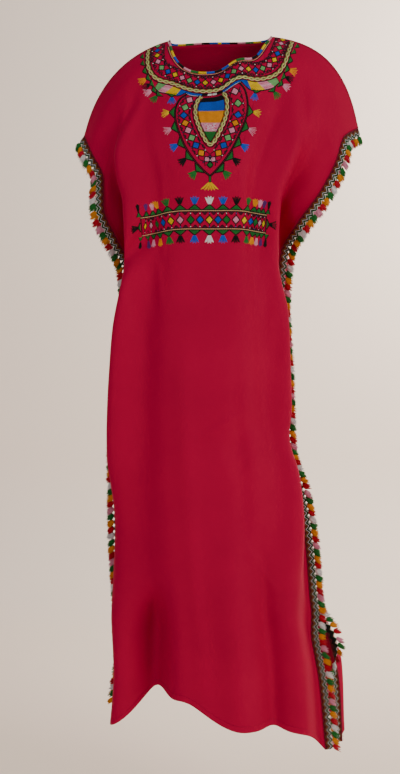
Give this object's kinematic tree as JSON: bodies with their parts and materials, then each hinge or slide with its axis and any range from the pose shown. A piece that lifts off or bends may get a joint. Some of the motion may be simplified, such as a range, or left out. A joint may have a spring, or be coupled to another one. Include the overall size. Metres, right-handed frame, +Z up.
{
  "type": "jubba robe",
  "caption": "Long loose robe of two wide straight panels, with a braided round neck and keyhole, tasselled side edges, open sleeves and side slits, shaped as worn.",
  "frame": {"origin": "middle of the neck opening at shoulder height, where a wearer's shoulders hold the robe", "axes": "+Z up, front towards -Y, +X to the viewer's right when facing the front"},
  "size_m": [0.5677, 0.3569, 1.4155],
  "materials": {
    "crepe": "matt crimson crepe with a faint sheen",
    "binding": "corded binding in several colours of thread",
    "braid": "couched two-ply braid in pale green and cream",
    "crochet": "crocheted zigzag band and tassels in several colours of yarn"
  },
  "bodies": {
    "root": {"front_panel": "crepe", "back_panel": "crepe", "neck_binding": "binding", "yoke_braid": "braid", "keyhole_braid": "braid", "sleeve_trim_front_left": "crochet", "sleeve_trim_front_right": "crochet", "sleeve_trim_back_left": "crochet", "sleeve_trim_back_right": "crochet", "side_trim_front_left": "crochet", "side_trim_front_right": "crochet", "side_trim_back_left": "crochet", "side_trim_back_right": "crochet"}
  },
  "joints": []
}
